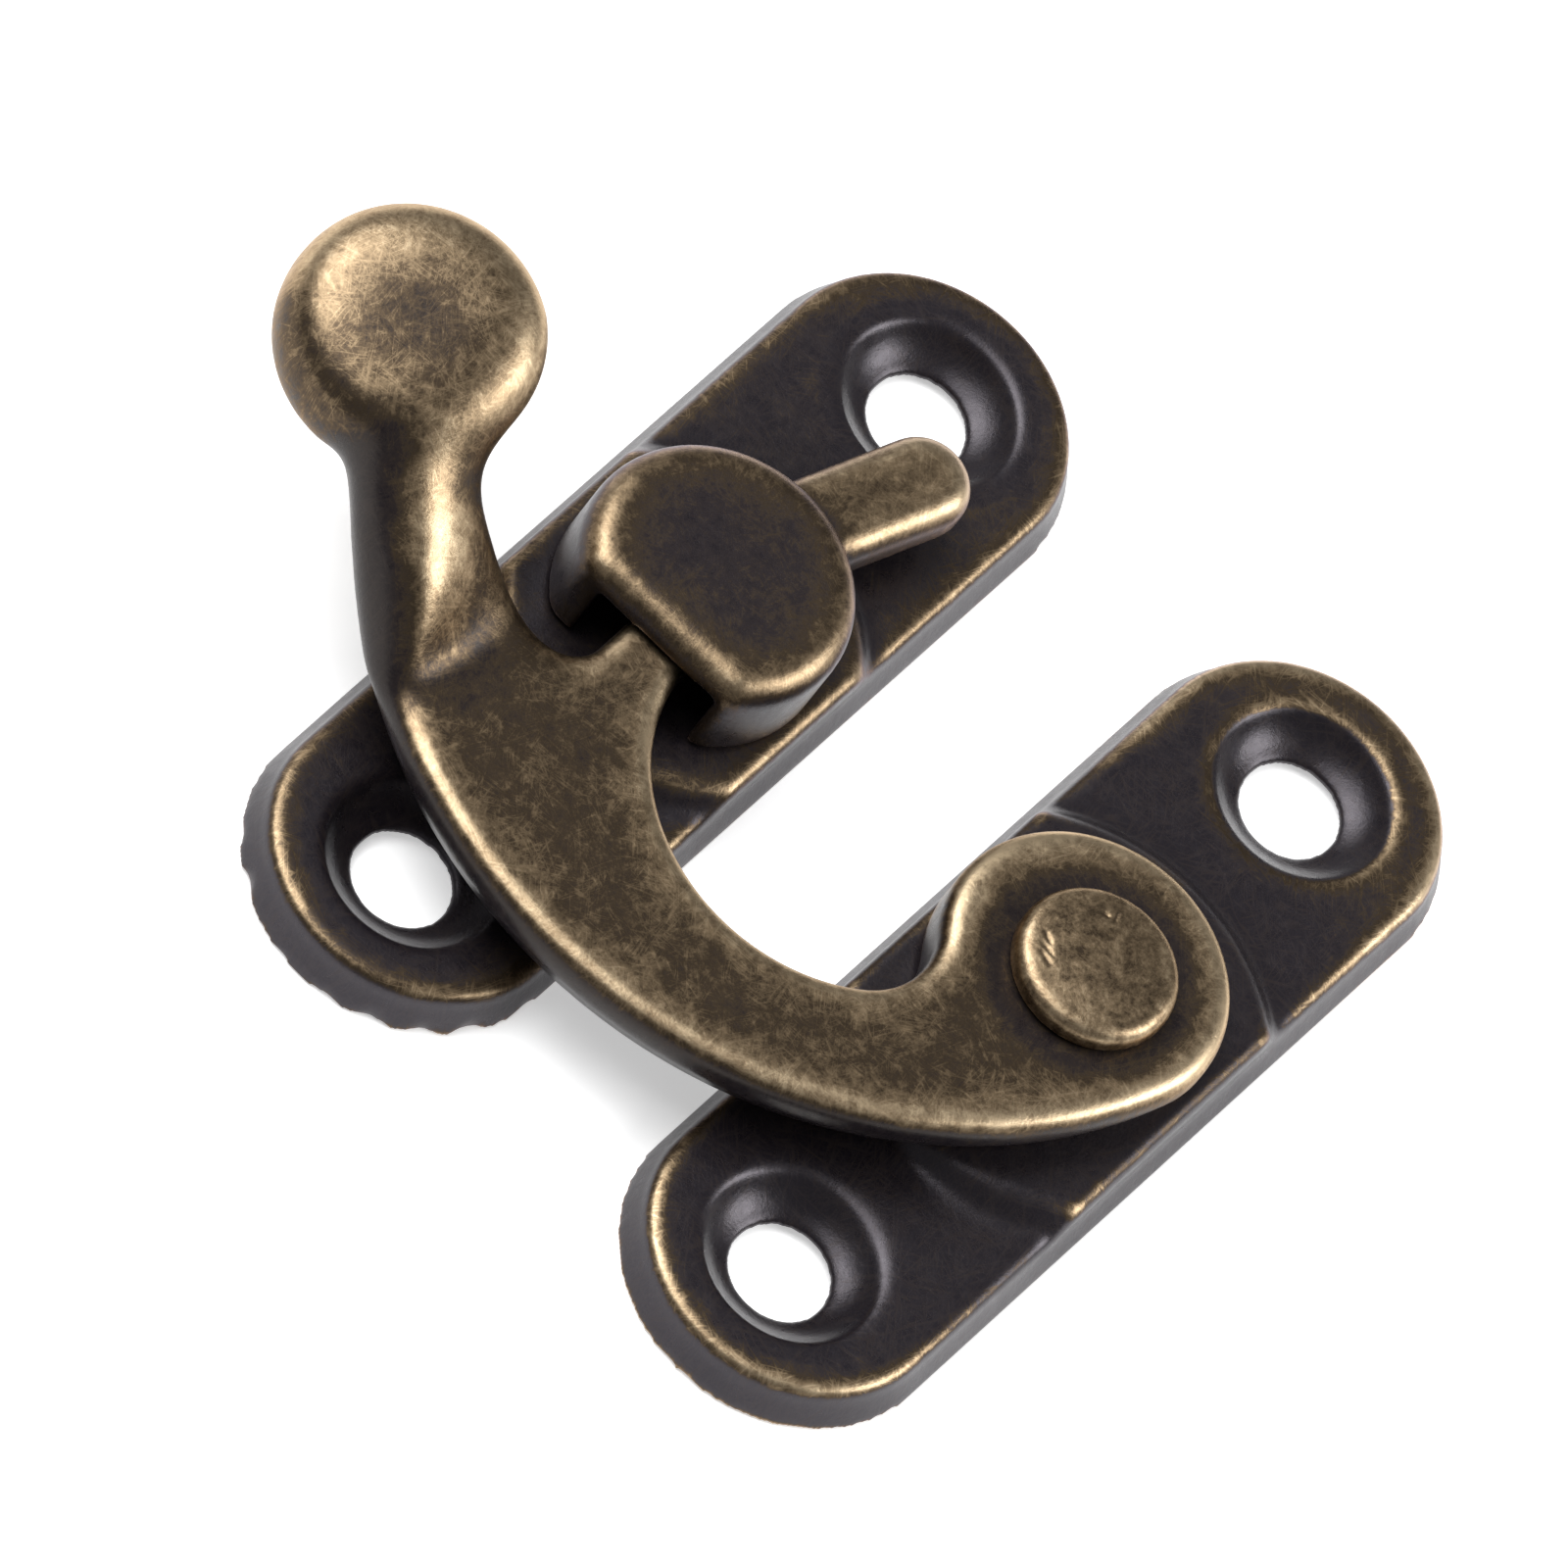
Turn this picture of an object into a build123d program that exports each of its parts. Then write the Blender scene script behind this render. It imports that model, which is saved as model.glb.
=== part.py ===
from build123d import *
from math import atan, cos, degrees, radians, sin
import os

os.makedirs("parts", exist_ok=True)

# Swing hook hasp: millimetres, the rivet axis is Z, and the mounting surface is Z = 0.

# Both pressed plates
plate_length = 33.0
plate_width = 10.0
sheet = 0.8
skirt_height = 0.95
skirt_flare = 0.38
land_height = 1.4
pad_height = 2.1
pad_run = 0.55
rim_round = 0.4
hole_inset = 4.6
hole_radius = 1.5
dish_radius = 2.7
dish_depth = 1.0
dish_curve = 2.0
dish_soften = 0.35
collar_wall = 0.5
collar_step = 0.3

# Where each plate differs
pivot_pad_over = 1.3
catch_pad_over = 0.3
catch_x = 0.4
catch_y = 15.2
pad_soften = 0.6

# Rivet and running fits
shank_radius = 1.3
running_fit = 0.05
float_gap = 0.1
rivet_head_radius = 2.47
rivet_head_height = 0.7
rivet_crown = 0.18
rivet_edge_round = 0.45
tail_radius = 2.0
tail_height = 0.6

# Swing arm, drawn in plan about the rivet
arm_thickness = 2.1
eye_radius = 4.38
eye_x = 0.3
eye_y = 0.22
sweep_radius = 15.42
sweep_bearing = 75.2
sweep_past = 1.73
mouth_x = -1.52
mouth_radius = 5.8
eye_blend = 2.6
tongue_near = 1.29
tongue_far = 0.8
tongue_round = 0.8
notch_round = 1.1
neck_inner_x = -4.75
arm_top_round = 0.55
arm_under_round = 0.3
draft_run = 0.65
draft_height = 1.15

# Neck and knob
neck_lead = 1.4
neck_tail = 5.5
neck_rise = 12.0
neck_swing = -16.0
neck_width = 4.25
neck_thickness = 3.1
neck_crown = 1.4
neck_flare = 0.6
neck_bank = 25.0
neck_lift = -0.1
knob_x = -3.6
knob_ahead = 8.4
knob_z = 7.7
knob_radius = 3.9
knob_dome = 2.0
knob_under = 1.4
knob_flat = 0.8
knob_oval = 0.8
knob_tilt = 12.0

# Turn catch, drawn about its own post
catch_bearing = 2.0
post_radius = 4.14
head_thickness = 0.9
head_round = 0.85
head_corner = 0.9
lip_gap = 0.15
flat_offset = 3.1
pocket_depth = 2.4
pocket_near = 2.0
pocket_far = 2.4
lever_bearing = -19.0
lever_offset = 0.7
lever_reach = 9.7
lever_width = 2.9
lever_top = 4.25
lever_thickness = 1.6
lever_round = 0.75

# Rough bites in the skirt at one end of the catch plate: bearing and depth
bites = ((127, 0.1), (145, 0.18), (172, 0.07), (190, 0.09), (208, 0.17), (226, 0.18), (243, 0.2), (266, 0.12))
bite_radius = 0.8

arm_under = pad_height + float_gap
arm_top = arm_under + arm_thickness
rivet_under = arm_top + float_gap
lip_under = arm_top + lip_gap
head_top = lip_under + head_thickness
flare_angle = degrees(atan(skirt_flare / skirt_height))
end_offset = (plate_length - plate_width) / 2
hole_offset = plate_length / 2 - hole_inset
tongue_side = catch_y + tongue_far
mouth_y = catch_y - tongue_near - mouth_radius
neck_inner_y = tongue_side + notch_round
knob_y = neck_inner_y + knob_ahead
near = 0.01


def pressed_plate(pad_over, shank_hole):
    """A hollow pressing about its own centre: flared skirt, lands, round pad and dished holes."""
    pad_radius = plate_width / 2 + pad_over
    with BuildPart() as plate:
        with BuildSketch():
            SlotOverall(plate_length, plate_width)
        extrude(amount=skirt_height, taper=flare_angle)
        with BuildSketch(Plane.XY.offset(skirt_height)):
            SlotOverall(plate_length - 2 * skirt_flare, plate_width - 2 * skirt_flare)
        extrude(amount=pad_height - skirt_height)
        # The lands are pressed down round the pad, which keeps a sloping convex wall.
        with BuildSketch(Plane.XZ):
            with BuildLine():
                Polyline(
                    (pad_radius + pad_run, land_height),
                    (pad_radius, pad_height),
                    (pad_radius, pad_height + sheet),
                    (plate_length, pad_height + sheet),
                    (plate_length, land_height),
                    close=True,
                )
            make_face()
        revolve(axis=Axis.Z, mode=Mode.SUBTRACT)
        steps = plate.edges().filter_by(GeomType.CIRCLE)
        fillet(steps.filter_by(lambda e: abs(e.radius - pad_radius) < near), pad_soften)
        steps = plate.edges().filter_by(GeomType.CIRCLE)
        fillet(steps.filter_by(lambda e: abs(e.radius - pad_radius - pad_run) < near), pad_soften)
        rim = plate.edges().filter_by(lambda e: on_rim(e))
        fillet(rim, rim_round)
        # Hollow back, one sheet thickness behind the face.
        with BuildSketch():
            SlotOverall(plate_length - 2 * sheet, plate_width - 2 * sheet)
        extrude(amount=land_height - sheet, taper=flare_angle, mode=Mode.SUBTRACT)
        with BuildSketch():
            Circle(pad_radius - sheet / 2)
            SlotOverall(
                plate_length,
                plate_width - 2 * skirt_flare - 2 * sheet,
                mode=Mode.INTERSECT,
            )
        extrude(amount=pad_height - sheet, mode=Mode.SUBTRACT)
        # Screw holes: a collar pressed through to the back, then the dish and the hole.
        with Locations((-hole_offset, 0, land_height / 2), (hole_offset, 0, land_height / 2)):
            Cone(hole_radius + collar_wall, dish_radius + collar_wall / 2, land_height - collar_step)
            Cylinder(hole_radius, 2 * land_height, mode=Mode.SUBTRACT)
        with Locations((-hole_offset, 0, land_height), (hole_offset, 0, land_height)):
            add(screw_dish(), mode=Mode.SUBTRACT)
        dish_rims = plate.edges().filter_by(GeomType.CIRCLE)
        fillet(dish_rims.filter_by(lambda e: abs(e.radius - dish_radius) < near), dish_soften)
        Cylinder(shank_hole, 4 * pad_height, mode=Mode.SUBTRACT)
    return plate.part


def on_rim(edge):
    """True for the plate's upper edge, along the lands, up the pad's ends and along the pad."""
    middle = edge @ 0.5
    over = max(abs(middle.X) - end_offset, 0)
    from_axis = (over**2 + middle.Y**2) ** 0.5
    return middle.Z > land_height - near and abs(from_axis - plate_width / 2 + skirt_flare) < near


def screw_dish():
    """The dished recess of a screw hole, hanging from Z = 0."""
    with BuildPart() as dish:
        with BuildSketch(Plane.XZ):
            with BuildLine():
                Line((0, -dish_depth), (hole_radius, -dish_depth))
                RadiusArc((hole_radius, -dish_depth), (dish_radius, 0), -dish_curve)
                Polyline((dish_radius, 0), (dish_radius, sheet), (0, sheet), (0, -dish_depth))
            make_face()
        revolve(axis=Axis.Z)
    return dish.part


with BuildPart() as pivot_plate:
    add(pressed_plate(pivot_pad_over, shank_radius))
pivot_plate.part.label = "pivot_plate"
export_step(pivot_plate.part, "parts/pivot_plate.step")

with BuildPart(Plane((catch_x, catch_y, 0))) as catch_plate:
    add(pressed_plate(catch_pad_over, shank_radius + running_fit))
    for bearing, depth in bites:
        reach = plate_width / 2 + bite_radius - depth
        with Locations((reach * cos(radians(bearing)) - end_offset, reach * sin(radians(bearing)), 0)):
            Cylinder(bite_radius, land_height, mode=Mode.SUBTRACT)
catch_plate.part.label = "catch_plate"
export_step(catch_plate.part, "parts/catch_plate.step")

sweep_x = eye_x + (sweep_radius - eye_radius) * cos(radians(sweep_bearing))
sweep_y = eye_y + (sweep_radius - eye_radius) * sin(radians(sweep_bearing))
sweep_foot = (
    sweep_x - sweep_radius * cos(radians(sweep_bearing)),
    sweep_y - sweep_radius * sin(radians(sweep_bearing)),
)
sweep_side = (sweep_x - sweep_radius, sweep_y)
tip_y = neck_inner_y + sweep_past
sweep_tip = (sweep_x - (sweep_radius**2 - (tip_y - sweep_y) ** 2) ** 0.5, tip_y)
mouth_top = (mouth_x, mouth_y + mouth_radius)
mouth_side = (mouth_x - mouth_radius, mouth_y)
mouth_foot = (mouth_x, mouth_y - mouth_radius)
notch_start = (neck_inner_x, tongue_side + notch_round)
notch_end = (neck_inner_x + notch_round, tongue_side)
tip_start = (mouth_x + tongue_round, tongue_side - tongue_round)
tip_end = (mouth_x + tongue_round, mouth_top[1] + tongue_round)

neck_foot = Vector(
    (sweep_tip[0] + neck_inner_x) / 2,
    (sweep_tip[1] + neck_inner_y) / 2,
    arm_under + arm_thickness / 2,
)
neck_edge = Vector(neck_inner_x - sweep_tip[0], neck_inner_y - sweep_tip[1], 0)
neck_out = Vector(-neck_edge.Y, neck_edge.X, 0).normalized()
neck_run = Vector(knob_x - neck_foot.X, knob_y - neck_foot.Y, 0).normalized()
neck_arrival = neck_run.rotate(Axis.Z, neck_swing)
neck_climb = neck_arrival * cos(radians(neck_rise)) + Vector(0, 0, sin(radians(neck_rise)))
neck_end = Vector(knob_x, knob_y, knob_z + neck_lift)
neck_mean_depth = (arm_thickness + neck_thickness) / 2


def arm_neck():
    """The neck, lifting out of the flat arm, narrowing to a rounded section and widening into the knob."""
    with BuildPart() as neck:
        with BuildLine() as neck_line:
            Bezier(
                neck_foot,
                neck_foot + neck_out * neck_lead,
                neck_end - neck_climb * neck_tail,
                neck_end,
            )
        sections = (
            (0, neck_edge.length, arm_thickness, neck_crown * 0.6, 0),
            (0.25, (neck_edge.length + neck_width) / 2, neck_mean_depth, neck_crown * 0.8, 0.5),
            (0.5, neck_width, neck_thickness, neck_crown, 1),
            (0.7, neck_width, neck_thickness, neck_crown, 1),
            (0.86, neck_width + neck_flare / 2, neck_thickness, neck_crown, 0.8),
            (1, neck_width + neck_flare, neck_thickness - neck_flare, neck_crown * 0.8, 0.5),
        )
        for along, width, depth, crown, bank in sections:
            ahead = neck_line.line % along
            station = Plane(neck_line.line @ along, x_dir=(ahead.Y, -ahead.X, 0), z_dir=ahead)
            with BuildSketch(station):
                RectangleRounded(width, depth, crown, rotation=bank * neck_bank)
        loft()
    return neck.part


def arm_knob():
    """The domed knob, leaning back a little with the neck."""
    lean = Plane((knob_x, knob_y, knob_z), x_dir=neck_run, z_dir=(0, 0, 1)).rotated((0, -knob_tilt, 0))
    with BuildPart() as knob:
        with BuildSketch(Plane(lean.origin, x_dir=lean.x_dir, z_dir=-lean.y_dir)):
            with BuildLine():
                Bezier(
                    (knob_flat, knob_dome),
                    (knob_radius * knob_oval, knob_dome),
                    (knob_radius, knob_dome * knob_oval),
                    (knob_radius, 0),
                )
                Bezier(
                    (knob_radius, 0),
                    (knob_radius, -knob_under * knob_oval),
                    (knob_radius * knob_oval, -knob_under),
                    (knob_flat, -knob_under),
                )
                Polyline((knob_flat, -knob_under), (0, -knob_under), (0, knob_dome), (knob_flat, knob_dome))
            make_face()
        revolve(axis=Axis(lean.origin, lean.z_dir))
    return knob.part


with BuildPart() as swing_arm:
    with BuildSketch(Plane.XY.offset(arm_under)) as arm_plan:
        with BuildLine():
            ThreePointArc(sweep_foot, sweep_side, sweep_tip)
            Line(sweep_tip, notch_start)
            TangentArc(notch_start, notch_end, tangent=(0, -1))
            Line(notch_end, (mouth_x, tongue_side))
            TangentArc((mouth_x, tongue_side), tip_start, tangent=(1, 0))
            Line(tip_start, tip_end)
            TangentArc(tip_end, mouth_top, tangent=(0, -1))
            ThreePointArc(mouth_top, mouth_side, mouth_foot)
            Line(mouth_foot, sweep_foot)
        make_face()
        with Locations((eye_x, eye_y)):
            Circle(eye_radius)
        crossing = arm_plan.vertices().sort_by_distance((-eye_radius, eye_radius))[0]
        fillet(crossing, eye_blend)
    extrude(amount=arm_thickness)
    end_face = swing_arm.faces().sort_by_distance(neck_foot)[0]
    end_edges = end_face.edges()
    upper = swing_arm.faces().sort_by(Axis.Z)[-1].edges() - end_edges
    under = swing_arm.faces().sort_by(Axis.Z)[0].edges() - end_edges
    fillet(upper, arm_top_round)
    fillet(under, arm_under_round)
    add(arm_neck())
    # Below its parting line the outer wall draws in.
    with BuildSketch(Plane.XZ.offset(-sweep_y)):
        with BuildLine():
            Polyline(
                (sweep_x - sweep_radius, arm_under + draft_height),
                (sweep_x - sweep_radius + draft_run, arm_under),
                (sweep_x - sweep_radius - neck_width, arm_under),
                (sweep_x - sweep_radius - neck_width, arm_under + draft_height),
                close=True,
            )
        make_face()
    revolve(axis=Axis((sweep_x, sweep_y, 0), (0, 0, 1)), mode=Mode.SUBTRACT)
    Cylinder(shank_radius + running_fit, 4 * arm_top, mode=Mode.SUBTRACT)
    add(arm_knob())
swing_arm.part.label = "swing_arm"
export_step(swing_arm.part, "parts/swing_arm.step")

with BuildPart() as pivot_rivet:
    with BuildSketch(Plane.XZ):
        with BuildLine():
            Polyline(
                (0, rivet_under + rivet_head_height + rivet_crown),
                (0, pad_height - sheet - tail_height),
                (tail_radius, pad_height - sheet - tail_height),
                (tail_radius, pad_height - sheet),
                (shank_radius, pad_height - sheet),
                (shank_radius, rivet_under),
                (rivet_head_radius, rivet_under),
                (rivet_head_radius, rivet_under + rivet_head_height),
            )
            ThreePointArc(
                (rivet_head_radius, rivet_under + rivet_head_height),
                (rivet_head_radius * 0.52, rivet_under + rivet_head_height + rivet_crown * 0.75),
                (0, rivet_under + rivet_head_height + rivet_crown),
            )
        make_face()
    revolve(axis=Axis.Z)
    rounds = pivot_rivet.edges().filter_by(lambda e: e.is_closed).group_by(Axis.Z)
    fillet(rounds[-1], rivet_edge_round)
    fillet(rounds[0], tail_height / 2)
pivot_rivet.part.label = "pivot_rivet"
export_step(pivot_rivet.part, "parts/pivot_rivet.step")

catch_plane = Plane(
    (catch_x, catch_y, 0),
    x_dir=(cos(radians(catch_bearing)), sin(radians(catch_bearing)), 0),
    z_dir=(0, 0, 1),
)
tail_top = pad_height - sheet - float_gap


def finger_lever():
    """The lever, running out of the side of the post to a rounded end."""
    with BuildPart() as lever:
        with BuildSketch(Plane.XY.offset(lever_top - lever_thickness).rotated((0, 0, lever_bearing))):
            with Locations((lever_reach / 2, lever_offset)):
                SlotOverall(lever_reach, lever_width)
        extrude(amount=lever_thickness)
        fillet(lever.faces().sort_by(Axis.Z)[-1].edges(), lever_round)
        fillet(lever.faces().sort_by(Axis.Z)[0].edges(), lever_round / 2)
    return lever.part


with BuildPart(catch_plane) as turn_catch:
    # D-shaped post, with its flat towards the arm.
    with BuildSketch(catch_plane.offset(arm_under)) as post_plan:
        Circle(post_radius)
        with Locations((-flat_offset, 0)):
            Rectangle(post_radius, 2 * post_radius, align=(Align.MAX, Align.CENTER), mode=Mode.SUBTRACT)
        fillet(post_plan.vertices(), head_corner)
    extrude(amount=head_top - arm_under)
    fillet(turn_catch.faces().sort_by(Axis.Z)[-1].edges(), head_round)
    # Shank through the plate, with its peened tail.
    with BuildSketch(catch_plane.offset(tail_top)):
        Circle(shank_radius)
    extrude(amount=arm_under + head_thickness - tail_top)
    with BuildSketch(catch_plane.offset(tail_top)):
        Circle(tail_radius)
    extrude(amount=-tail_height)
    fillet(turn_catch.edges().filter_by(lambda e: e.is_closed).group_by(Axis.Z)[0], tail_height / 2)
    # Pocket under the lip, open to the flat and to the pad, for the tongue.
    with BuildSketch(catch_plane.offset(pad_height)):
        with Locations((-flat_offset, (pocket_near - pocket_far) / 2)):
            Rectangle(2 * pocket_depth, pocket_near + pocket_far)
    extrude(amount=lip_under - pad_height, mode=Mode.SUBTRACT)
    add(finger_lever())
turn_catch.part.label = "turn_catch"
export_step(turn_catch.part, "parts/turn_catch.step")
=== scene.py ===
import math

import bmesh
import bpy
import numpy as np
from mathutils import Matrix, Vector


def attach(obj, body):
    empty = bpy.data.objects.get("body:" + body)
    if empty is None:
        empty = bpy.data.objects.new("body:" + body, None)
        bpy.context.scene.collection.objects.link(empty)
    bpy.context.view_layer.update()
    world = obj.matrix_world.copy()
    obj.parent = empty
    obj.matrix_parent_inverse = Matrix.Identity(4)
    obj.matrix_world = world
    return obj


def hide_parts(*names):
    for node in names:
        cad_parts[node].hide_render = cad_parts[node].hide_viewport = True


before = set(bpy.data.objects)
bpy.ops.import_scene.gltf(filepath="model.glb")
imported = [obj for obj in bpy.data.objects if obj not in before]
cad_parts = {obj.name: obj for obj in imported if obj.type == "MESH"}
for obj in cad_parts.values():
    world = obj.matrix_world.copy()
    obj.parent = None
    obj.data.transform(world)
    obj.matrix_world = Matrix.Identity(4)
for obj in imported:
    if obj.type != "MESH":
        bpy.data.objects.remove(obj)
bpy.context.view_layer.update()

# Pivot plate: a hollow pressing in thin sheet, blackened all over and then rubbed back, so that bronze
# shows along its rolled rim and round its outer screw hole. Two screws hold it to the front of the box.
MM_IN_A_METRE = 1000
EDGE_GRAINS = 1.6
ROUNDS_TO_SPREAD = 8


def cad_skin(node, grain):
    """An even, closed skin over one solid, in millimetres: its points, and which are neighbours."""
    bm = bmesh.new()
    bm.from_mesh(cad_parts[node].data)
    bmesh.ops.remove_doubles(bm, verts=bm.verts, dist=1e-6)
    bmesh.ops.scale(bm, vec=(MM_IN_A_METRE, MM_IN_A_METRE, MM_IN_A_METRE), verts=bm.verts)
    mesh = bpy.data.meshes.new(node + "_skin")
    bm.to_mesh(mesh)
    bm.free()
    piece = bpy.data.objects.new(mesh.name, mesh)
    bpy.context.scene.collection.objects.link(piece)
    cover = piece.modifiers.new("cover", "REMESH")
    cover.mode = "VOXEL"
    cover.voxel_size = grain
    even = bpy.data.meshes.new_from_object(piece.evaluated_get(bpy.context.evaluated_depsgraph_get()))
    piece.modifiers.clear()
    piece.data = even
    bpy.data.meshes.remove(mesh)
    even.name = piece.name
    points = np.empty(len(even.vertices) * 3)
    even.vertices.foreach_get("co", points)
    pairs = np.empty(len(even.edges) * 2, dtype=np.int32)
    even.edges.foreach_get("vertices", pairs)
    return piece, points.reshape(-1, 3), pairs.reshape(-1, 2)


def rub_down(points, pairs, rounds, freedom=1.0):
    """Moves each point halfway to the middle of its neighbours, as far as it is free to, round by round."""
    ends = np.concatenate((pairs[:, 0], pairs[:, 1]))
    others = np.concatenate((pairs[:, 1], pairs[:, 0]))
    count = np.bincount(ends, minlength=len(points))
    for _ in range(rounds):
        sums = [np.bincount(ends, side[others], len(points)) for side in points.T]
        middle = np.stack([total / count for total in sums], axis=1)
        points = points + 0.5 * freedom * (middle - points)
    return points


def rubbed_skin(node, grain, rounds, blends=()):
    """A solid's skin with tumbled edges; a blend, where two forms meet, is a centre, reach and rounds."""
    piece, points, pairs = cad_skin(node, grain)
    points = rub_down(points, pairs, rounds)
    for centre, reach, more in blends:
        apart = np.linalg.norm(points - np.array(centre), axis=1)
        freedom = np.clip(1.5 - 1.5 * apart / reach, 0, 1)[:, None]
        points = rub_down(points, pairs, more, freedom)
    return piece, points, pairs


def finish_skin(piece, points, pairs, grain, spread):
    """Sets the skin in metres, with what wear follows: the way each point faces, how far it stands out."""
    mesh = piece.data
    mesh.vertices.foreach_set("co", points.ravel())
    mesh.update()
    normals = np.empty(len(points) * 3)
    mesh.vertices.foreach_get("normal", normals)
    mesh.attributes.new("facing", "FLOAT_VECTOR", "POINT").data.foreach_set("vector", normals)
    normals = normals.reshape(-1, 3)
    rubbed = points
    for label, reach in (("edge", EDGE_GRAINS * grain), ("band", spread)):
        rubbed = rub_down(rubbed, pairs, round(ROUNDS_TO_SPREAD * (reach / grain) ** 2))
        stands_out = ((points - rubbed) * normals).sum(axis=1) / reach
        mesh.attributes.new(label, "FLOAT", "POINT").data.foreach_set("value", stands_out)
    mesh.vertices.foreach_set("co", points.ravel() / MM_IN_A_METRE)
    mesh.polygons.foreach_set("use_smooth", np.ones(len(mesh.polygons), dtype=bool))
    mesh.update()


def wire(tree, kind, values=None, **links):
    """A node with its plain values set and its inputs linked by name."""
    node = tree.nodes.new(kind)
    for key, value in (values or {}).items():
        if key in node.inputs:
            node.inputs[key].default_value = value
        else:
            setattr(node, key, value)
    for key, source in links.items():
        tree.links.new(source, node.inputs[key])
    return node


def maths(tree, operation, first, second=None, third=None, clamp=False):
    """One Math node; each side is a socket or a number."""
    node = tree.nodes.new("ShaderNodeMath")
    node.operation = operation
    node.use_clamp = clamp
    for slot, side in enumerate((first, second, third)):
        if isinstance(side, (int, float)):
            node.inputs[slot].default_value = side
        elif side is not None:
            tree.links.new(side, node.inputs[slot])
    return node.outputs[0]


def between(tree, value, low, high, to_low=0.0, to_high=1.0):
    """A soft step of a value from low to high."""
    node = tree.nodes.new("ShaderNodeMapRange")
    node.interpolation_type = "SMOOTHSTEP"
    tree.links.new(value, node.inputs["Value"])
    for key, number in (("From Min", low), ("From Max", high), ("To Min", to_low), ("To Max", to_high)):
        node.inputs[key].default_value = number
    return node.outputs["Result"]


def millimetres(tree):
    """The place on the piece, in millimetres."""
    place = tree.nodes.new("ShaderNodeTexCoord")
    scaled = wire(tree, "ShaderNodeVectorMath", {"operation": "SCALE", "Scale": MM_IN_A_METRE})
    tree.links.new(place.outputs["Object"], scaled.inputs[0])
    return scaled.outputs[0]


def noise(tree, place, scale, detail, rough=0.6):
    """Noise about zero."""
    settings = {"Scale": scale, "Detail": detail, "Roughness": rough}
    node = wire(tree, "ShaderNodeTexNoise", settings, Vector=place)
    return maths(tree, "SUBTRACT", node.outputs["Fac"], 0.5)


def turned(tree, place, angle, stretch):
    """The place turned about the vertical, then stretched."""
    node = wire(tree, "ShaderNodeMapping", {"vector_type": "TEXTURE", "Scale": stretch}, Vector=place)
    node.inputs["Rotation"].default_value = (0, 0, math.radians(angle))
    return node.outputs["Vector"]


def from_axis(tree, place, x, y):
    """How far a place is from an upright axis."""
    flat = wire(tree, "ShaderNodeVectorMath", {"operation": "MULTIPLY"})
    tree.links.new(place, flat.inputs[0])
    flat.inputs[1].default_value = (1, 1, 0)
    gap = wire(tree, "ShaderNodeVectorMath", {"operation": "DISTANCE"})
    tree.links.new(flat.outputs[0], gap.inputs[0])
    gap.inputs[1].default_value = (x, y, 0)
    return gap.outputs["Value"]


def measure(tree, place, axis):
    """How far along an axis a place is."""
    return wire(tree, "ShaderNodeSeparateXYZ", Vector=place).outputs[axis]


def facing(tree, axis):
    """How far the rubbed skin faces along an axis."""
    normal = wire(tree, "ShaderNodeAttribute", {"attribute_name": "facing"}).outputs["Vector"]
    return measure(tree, normal, axis)


# Fine crossed scratches: in each direction, thin lines where a stretched noise crosses zero.
SCRATCH_LENGTH = 2.6
SCRATCH_WIDTH = 0.055
scuffs = bpy.data.node_groups.new("scuffs", "ShaderNodeTree")
scuffs.interface.new_socket("Place", in_out="INPUT", socket_type="NodeSocketVector")
scuffs.interface.new_socket("Scuffs", in_out="OUTPUT", socket_type="NodeSocketFloat")
scuff_place = scuffs.nodes.new("NodeGroupInput").outputs["Place"]
scuff_out = scuffs.nodes.new("NodeGroupOutput")
wander = wire(scuffs, "ShaderNodeTexNoise", {"Scale": 0.7, "Detail": 1.0}, Vector=scuff_place)
swirl = wire(scuffs, "ShaderNodeVectorMath", {"operation": "MULTIPLY_ADD"})
scuffs.links.new(wander.outputs["Color"], swirl.inputs[0])
swirl.inputs[1].default_value = (0.3, 0.3, 0.3)
scuffs.links.new(scuff_place, swirl.inputs[2])
strokes = None
for angle, pitch in ((8, 0.18), (38, 0.14), (66, 0.20), (97, 0.16), (129, 0.17), (158, 0.13)):
    lane = turned(scuffs, swirl.outputs[0], angle, (SCRATCH_LENGTH, pitch, SCRATCH_LENGTH))
    line = maths(scuffs, "ABSOLUTE", noise(scuffs, lane, 1.0, 0.0))
    thin = between(scuffs, line, SCRATCH_WIDTH, 0.0)
    patch = noise(scuffs, turned(scuffs, scuff_place, angle * 2.3, (1, 1, 1)), 0.9, 2.0)
    stroke = maths(scuffs, "MULTIPLY", thin, between(scuffs, patch, -0.2, 0.2))
    strokes = stroke if strokes is None else maths(scuffs, "MAXIMUM", strokes, stroke)
scuffs.links.new(strokes, scuff_out.inputs["Scuffs"])

# How far the black is rubbed off, from 0 to 1, with a piece's Place input adding its own worn places and,
# on the arm, painted shade and painted highlights; and the tone, metal, roughness and fine relief that
# follow.
SHADES = (
    (0.0, (0.0070, 0.0055, 0.0075)),
    (0.22, (0.018, 0.0135, 0.0130)),
    (0.45, (0.085, 0.061, 0.039)),
    (0.7, (0.265, 0.193, 0.117)),
    (1.0, (0.52, 0.405, 0.262)),
)
WALL_STARTS = 0.85
WALL_STANDS = 0.3
rubbing = bpy.data.node_groups.new("rubbed bronze", "ShaderNodeTree")
for label in ("Rub", "Edges", "Bands", "Walls", "Clouds", "Mottle", "Scuffs", "Place"):
    rubbing.interface.new_socket(label, in_out="INPUT", socket_type="NodeSocketFloat")
rubbing.interface.new_socket("Colour", in_out="OUTPUT", socket_type="NodeSocketColor")
for label in ("Metal", "Roughness", "Height"):
    rubbing.interface.new_socket(label, in_out="OUTPUT", socket_type="NodeSocketFloat")
give = rubbing.nodes.new("NodeGroupInput")
take = rubbing.nodes.new("NodeGroupOutput")
spot = millimetres(rubbing)
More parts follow.
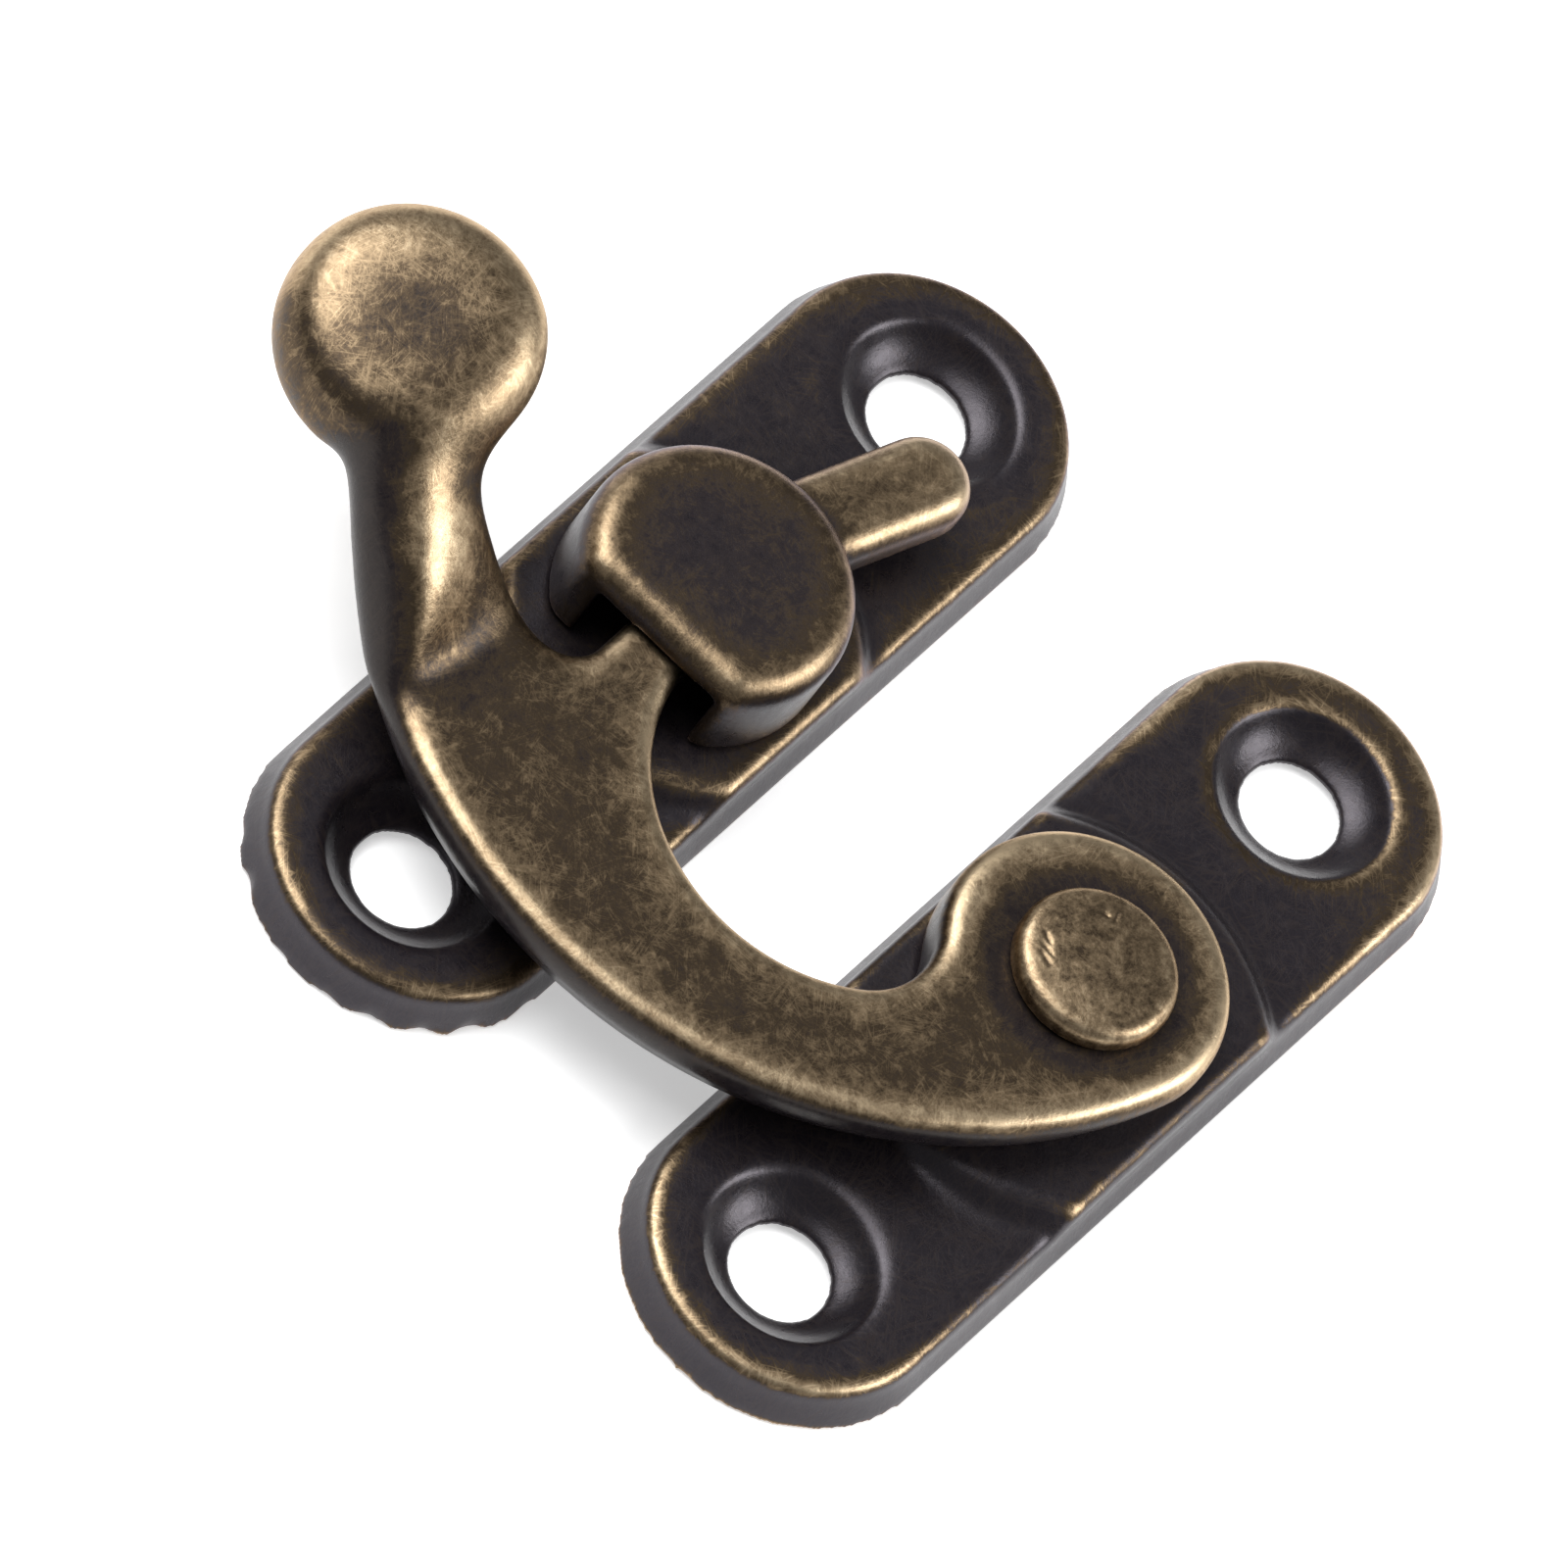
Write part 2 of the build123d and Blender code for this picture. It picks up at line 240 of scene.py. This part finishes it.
edge = wire(rubbing, "ShaderNodeAttribute", {"attribute_name": "edge"}).outputs["Fac"]
band = wire(rubbing, "ShaderNodeAttribute", {"attribute_name": "band"}).outputs["Fac"]
wall = between(rubbing, facing(rubbing, "Z"), WALL_STARTS, WALL_STANDS)
cloud = noise(rubbing, spot, 0.4, 3.0)
mottle = noise(rubbing, spot, 2.4, 6.0, 0.7)
grit = noise(rubbing, spot, 9.0, 4.0, 0.7)
scuff = rubbing.nodes.new("ShaderNodeGroup")
scuff.node_tree = scuffs
rubbing.links.new(spot, scuff.inputs["Place"])
# The Place input adds each piece's worn places, and on the arm painted shade and painted highlights.
rubbed = maths(rubbing, "ADD", give.outputs["Rub"], give.outputs["Place"])
for amount, pattern in (
    ("Edges", edge),
    ("Bands", band),
    ("Walls", wall),
    ("Clouds", cloud),
    ("Mottle", maths(rubbing, "MULTIPLY_ADD", grit, 0.5, mottle)),
):
    rubbed = maths(rubbing, "MULTIPLY_ADD", pattern, give.outputs[amount], rubbed)
scratch = maths(rubbing, "MULTIPLY", scuff.outputs["Scuffs"], give.outputs["Scuffs"])
rubbed = maths(rubbing, "ADD", maths(rubbing, "MAXIMUM", rubbed, 0.0), scratch, clamp=True)
tone = rubbing.nodes.new("ShaderNodeValToRGB")
for number, (at, shade) in enumerate(SHADES):
    stop = tone.color_ramp.elements[number] if number < 2 else tone.color_ramp.elements.new(at)
    stop.position = at
    stop.color = (*shade, 1)
rubbing.links.new(rubbed, tone.inputs["Fac"])
rubbing.links.new(tone.outputs["Color"], take.inputs["Colour"])
metal = between(rubbing, rubbed, 0.12, 0.5)
rubbing.links.new(metal, take.inputs["Metal"])
gloss = maths(rubbing, "MULTIPLY_ADD", metal, 0.07, 0.3)
gloss = maths(rubbing, "MULTIPLY_ADD", maths(rubbing, "MAXIMUM", mottle, -0.12), 0.25, gloss)
rubbing.links.new(gloss, take.inputs["Roughness"])
bumps = maths(rubbing, "MULTIPLY_ADD", grit, 0.35, maths(rubbing, "MULTIPLY", mottle, 0.7))
rubbing.links.new(maths(rubbing, "MULTIPLY_ADD", scratch, -0.25, bumps), take.inputs["Height"])


def rubbed_bronze(name, shine, tint, wear_and_painted_light_here=None, **amounts):
    """Blackened bronze rubbed back by a piece's own amounts; a piece's own wear function adds its worn and
    dark places, and on the arm its painted shade and painted highlights.
    """
    finish = bpy.data.materials.new(name)
    finish.use_nodes = True
    tree = finish.node_tree
    shader = tree.nodes["Principled BSDF"]
    shader.inputs["Specular IOR Level"].default_value = shine
    shader.inputs["Specular Tint"].default_value = (*tint, 1)
    group = tree.nodes.new("ShaderNodeGroup")
    group.node_tree = rubbing
    for label, amount in amounts.items():
        group.inputs[label].default_value = amount
    if wear_and_painted_light_here:
        tree.links.new(wear_and_painted_light_here(tree, millimetres(tree)), group.inputs["Place"])
    relief = {"Strength": 0.35, "Distance": 0.00005}
    bump = wire(tree, "ShaderNodeBump", relief, Height=group.outputs["Height"])
    tree.links.new(group.outputs["Colour"], shader.inputs["Base Color"])
    tree.links.new(group.outputs["Metal"], shader.inputs["Metallic"])
    tree.links.new(group.outputs["Roughness"], shader.inputs["Roughness"])
    tree.links.new(bump.outputs["Normal"], shader.inputs["Normal"])
    return finish


VIOLET_BLACK = (0.98, 0.91, 1.0)
PLATE_SHINE = 0.5
PLATE_GRAIN = 0.11
PLATE_ROUNDS = 5
PLATE_SPREAD = 0.5
HOLE_FROM_MIDDLE = 11.9
PAD_SIDES = (((7.0, 0.0, 2.0), 5.0, 30), ((-7.0, 0.0, 2.0), 5.0, 30))


def pivot_plate_wear(tree, place):
    """The end by the outer screw hole is rubbed most, with a ring round the dish; the middle stays dark."""
    along = measure(tree, place, "X")
    outer_end = between(tree, along, 4.0, 12.0, -0.5, 0.06)
    inner_end = between(tree, along, -9.0, -14.5, 0.0, 0.34)
    inner_hole = between(tree, from_axis(tree, place, -HOLE_FROM_MIDDLE, 0), 3.5, 2.9, 0.0, -0.9)
    outer_hole = between(tree, from_axis(tree, place, HOLE_FROM_MIDDLE, 0), 2.9, 2.5, 0.0, -0.9)
    ends = maths(tree, "ADD", outer_end, inner_end)
    return maths(tree, "ADD", ends, maths(tree, "ADD", inner_hole, outer_hole))


pivot_plate, points, pairs = rubbed_skin("pivot_plate", PLATE_GRAIN, PLATE_ROUNDS, blends=PAD_SIDES)
finish_skin(pivot_plate, points, pairs, PLATE_GRAIN, PLATE_SPREAD)
pivot_plate.data.materials.append(
    rubbed_bronze(
        "pivot_plate_bronze", PLATE_SHINE, VIOLET_BLACK, pivot_plate_wear,
        Rub=0.08, Edges=2.0, Bands=0.6, Walls=-0.35, Clouds=0.6, Mottle=0.55, Scuffs=0.24,
    )
)
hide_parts("pivot_plate")
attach(pivot_plate, "plates")

# Swing arm: one casting, a flat eye and C-shaped sweep with a tongue, and a crowned neck that lifts to a
# thumb knob. Handling and tumbling have rubbed its edges, neck and knob back to bronze.
# Its finish also has painted shade on its outer side, round the rivet and on the knob's top, and a painted
# highlight along the neck's ridge and on the knob's left shoulder.
BROWN_BLACK = (1.0, 0.87, 0.76)
ARM_SHINE = 0.28
ARM_GRAIN = 0.1
ARM_ROUNDS = 6
ARM_SPREAD = 0.7
KNOB_FRONT = ((-4.4, 22.3, 7.4), 4.2, 420)
KNOB_TOP = ((-5.6, 24.9, 9.5), 1.6, 60)
NECK_FOOT = ((-7.4, 18.2, 4.1), 3.8, 160)
NOTCH_SIDE = ((-5.4, 17.8, 4.2), 2.6, 140)
# Spots on the neck's ridge and the knob, each a place, reach and amount: rubbed bronze raised into a
# painted highlight along the ridge and on the knob's left shoulder, and painted shade on the knob's top.
RIDGE_AND_KNOB = (
    (-7.8, 18.8, 1.0, 0.2),
    (-7.0, 19.8, 1.2, 0.24),
    (-6.4, 20.9, 1.3, 0.28),
    (-6.1, 22.8, 1.3, 0.24),
    (-6.4, 24.6, 1.4, 0.05),
    (-4.6, 25.4, 3.4, -0.12),
)


def arm_wear_and_painted_light(tree, place):
    """Painted shade round the rivet's head, on the outer side and on top of the knob; rubbed bronze along
    the neck's ridge, brightened further into a painted highlight there and on the knob's left shoulder.
    """
    # Painted shade: the arm is darkened round and under the rivet's head.
    wear = between(tree, from_axis(tree, place, 0, 0), 3.7, 2.9, 0.0, -0.3)
    # Painted shade on faces turned out along -X: the neck's outer flank, and low down the arm's outer edge,
    # darkened to dull its highlight.
    neck_flank_painted_shade = between(tree, facing(tree, "X"), -0.3, -0.7, 0.0, -0.38)
    outer_edge_painted_shade = between(tree, facing(tree, "X"), -0.1, -0.45, 0.0, -0.22)
    low_down = between(tree, measure(tree, place, "Z"), 5.2, 4.4)
    outer_edge_painted_shade = maths(tree, "MULTIPLY", outer_edge_painted_shade, low_down)
    wear = maths(tree, "ADD", wear, maths(tree, "MINIMUM", neck_flank_painted_shade, outer_edge_painted_shade))
    # Rubbed bronze with a painted highlight along the ridge and on the knob's shoulder; painted shade on
    # the knob's top.
    for x, y, reach, amount in RIDGE_AND_KNOB:
        rubbed_and_painted_light_here = between(tree, from_axis(tree, place, x, y), reach, 0.2 * reach, 0.0, amount)
        wear = maths(tree, "ADD", wear, rubbed_and_painted_light_here)
    by_knob = between(tree, from_axis(tree, place, -3.8, 25.5), 4.8, 3.7, 0.0, 0.44)
    side = between(tree, facing(tree, "Z"), WALL_STARTS, WALL_STANDS)
    return maths(tree, "MULTIPLY_ADD", by_knob, side, wear)


swing_arm, points, pairs = rubbed_skin(
    "swing_arm", ARM_GRAIN, ARM_ROUNDS, blends=(KNOB_FRONT, KNOB_TOP, NECK_FOOT, NOTCH_SIDE)
)
finish_skin(swing_arm, points, pairs, ARM_GRAIN, ARM_SPREAD)
swing_arm.data.materials.append(
    rubbed_bronze(
        "arm_bronze", ARM_SHINE, BROWN_BLACK, arm_wear_and_painted_light,
        Rub=0.39, Edges=0.25, Bands=1.0, Walls=-0.5, Clouds=0.45, Mottle=0.7, Scuffs=0.16,
    )
)
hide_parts("swing_arm")
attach(swing_arm, "arm")

# Pivot rivet: a low button head over the arm's eye, its shank peened behind the plate. It was set after
# the blackening, so it is the lightest piece, nicked by the setting tool.
RIVET_SHINE = 0.3
RIVET_GRAIN = 0.06
RIVET_ROUNDS = 5
RIVET_SPREAD = 0.35
HEAD_DEPTH = 0.6
NICK_DEPTH = 0.05
NICK_WIDTH = 0.07
NICKS = (
    (-1.30, 1.10, 70, 0.50),
    (-1.03, 1.29, 75, 0.55),
    (-0.78, 1.45, 62, 0.45),
    (1.36, 0.61, 20, 0.40),
    (1.20, 0.85, 110, 0.30),
)
pivot_rivet, points, pairs = rubbed_skin("pivot_rivet", RIVET_GRAIN, RIVET_ROUNDS)
on_head = points[:, 2] > points[:, 2].max() - HEAD_DEPTH
for x, y, angle, length in NICKS:
    aim = np.array((math.cos(math.radians(angle)), math.sin(math.radians(angle))))
    away = points[:, :2] - (x, y)
    along = away @ aim
    across = away @ (-aim[1], aim[0])
    nick = np.exp(-((across / NICK_WIDTH) ** 2) - (2 * along / length) ** 4)
    points[:, 2] -= NICK_DEPTH * on_head * nick
finish_skin(pivot_rivet, points, pairs, RIVET_GRAIN, RIVET_SPREAD)
pivot_rivet.data.materials.append(
    rubbed_bronze(
        "rivet_bronze", RIVET_SHINE, BROWN_BLACK,
        Rub=0.57, Edges=0.3, Bands=0.2, Walls=-0.1, Clouds=0.4, Mottle=0.95, Scuffs=0.1,
    )
)
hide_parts("pivot_rivet")
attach(pivot_rivet, "plates")

# Catch plate: the same pressing as the pivot plate, with a rough edge where its skirt was sheared at one
# end. Two screws hold it to the box's lid.
CATCH_X = 0.4
CATCH_Y = 15.2


def catch_plate_wear(tree, place):
    """The dishes stay dark, and the near long side is rubbed most."""
    wear = between(tree, measure(tree, place, "Y"), 13.0, 10.5, 0.0, 0.12)
    for hole in (CATCH_X - HOLE_FROM_MIDDLE, CATCH_X + HOLE_FROM_MIDDLE):
        dish = between(tree, from_axis(tree, place, hole, CATCH_Y), 3.5, 2.9, 0.0, -0.6)
        wear = maths(tree, "ADD", wear, dish)
    return wear


catch_plate, points, pairs = rubbed_skin("catch_plate", PLATE_GRAIN, PLATE_ROUNDS)
finish_skin(catch_plate, points, pairs, PLATE_GRAIN, PLATE_SPREAD)
catch_plate.data.materials.append(
    rubbed_bronze(
        "catch_plate_bronze", PLATE_SHINE, VIOLET_BLACK, catch_plate_wear,
        Rub=0.02, Edges=1.2, Bands=0.4, Walls=-0.35, Clouds=0.55, Mottle=0.5, Scuffs=0.22,
    )
)
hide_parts("catch_plate")
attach(catch_plate, "plates")

# Turn catch: one casting, a D-shaped post whose lip holds the arm's tongue, and a finger lever, with its
# shank peened behind the catch plate. The lever is rubbed bright by use.
CATCH_SHINE = 0.4
CATCH_GRAIN = 0.08
CATCH_ROUNDS = 7
CATCH_SPREAD = 0.85


def catch_wear(tree, place):
    """Rubbed along the lever, dark on the flat of the post."""
    return between(tree, from_axis(tree, place, CATCH_X, CATCH_Y), 3.9, 4.9, 0.0, 0.23)


turn_catch, points, pairs = rubbed_skin("turn_catch", CATCH_GRAIN, CATCH_ROUNDS)
finish_skin(turn_catch, points, pairs, CATCH_GRAIN, CATCH_SPREAD)
turn_catch.data.materials.append(
    rubbed_bronze(
        "catch_bronze", CATCH_SHINE, VIOLET_BLACK, catch_wear,
        Rub=0.12, Edges=0.05, Bands=0.9, Walls=-0.45, Clouds=0.35, Mottle=0.6, Scuffs=0.13,
    )
)
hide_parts("turn_catch")
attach(turn_catch, "catch")

# Studio: a white table just under the plates, a wide light overhead, one low at the right and one behind,
# and a long lens looking down from the left.
TABLE_HALF = 1.5
TABLE_BELOW = 0.00005
table = bpy.data.meshes.new("table")
bm = bmesh.new()
bmesh.ops.create_grid(
    bm, x_segments=1, y_segments=1, size=TABLE_HALF, matrix=Matrix.Translation((0, 0, -TABLE_BELOW))
)
bm.to_mesh(table)
bm.free()
floor = bpy.data.objects.new("table", table)
bpy.context.scene.collection.objects.link(floor)
white = bpy.data.materials.new("white_table")
white.use_nodes = True
white_shader = white.node_tree.nodes["Principled BSDF"]
white_shader.inputs["Base Color"].default_value = (0.92, 0.92, 0.92, 1)
white_shader.inputs["Roughness"].default_value = 0.9
white_shader.inputs["Emission Color"].default_value = (1, 1, 1, 1)
white_shader.inputs["Emission Strength"].default_value = 0.45
table.materials.append(white)

world = bpy.data.worlds.new("studio")
world.use_nodes = True
sky = world.node_tree.nodes["Background"]
sky.inputs["Color"].default_value = (0.97, 0.98, 1.0, 1)
sky.inputs["Strength"].default_value = 0.22
bpy.context.scene.world = world

for label, stand, size, power in (
    ("overhead", (-0.06, 0.25, 0.58), 0.5, 2.9),
    ("low_right", (0.24, -0.50, 0.34), 0.36, 3.2),
    ("behind", (0.06, 0.42, 0.48), 0.4, 2.1),
):
    lamp = bpy.data.lights.new(label, "AREA")
    lamp.size = size
    lamp.energy = power
    light = bpy.data.objects.new(label, lamp)
    light.location = stand
    light.rotation_euler = (-Vector(stand)).to_track_quat("-Z", "Y").to_euler()
    bpy.context.scene.collection.objects.link(light)

CAMERA_STAND = (-0.644706, -0.075646, 0.881058)
right = Vector((0.60256, -0.70583, 0.37247))
up = Vector((0.53860, 0.70405, 0.46285))
back = Vector((-0.58893, -0.07828, 0.80439))
lens = bpy.data.cameras.new("camera")
lens.sensor_width = 36.0
lens.lens = 900.0
lens.clip_end = 10.0
camera = bpy.data.objects.new("camera", lens)
turn = Matrix((right, up, back)).transposed().to_4x4()
camera.matrix_world = Matrix.Translation(CAMERA_STAND) @ turn
bpy.context.scene.collection.objects.link(camera)
bpy.context.scene.camera = camera
bpy.context.scene.view_settings.view_transform = "Standard"
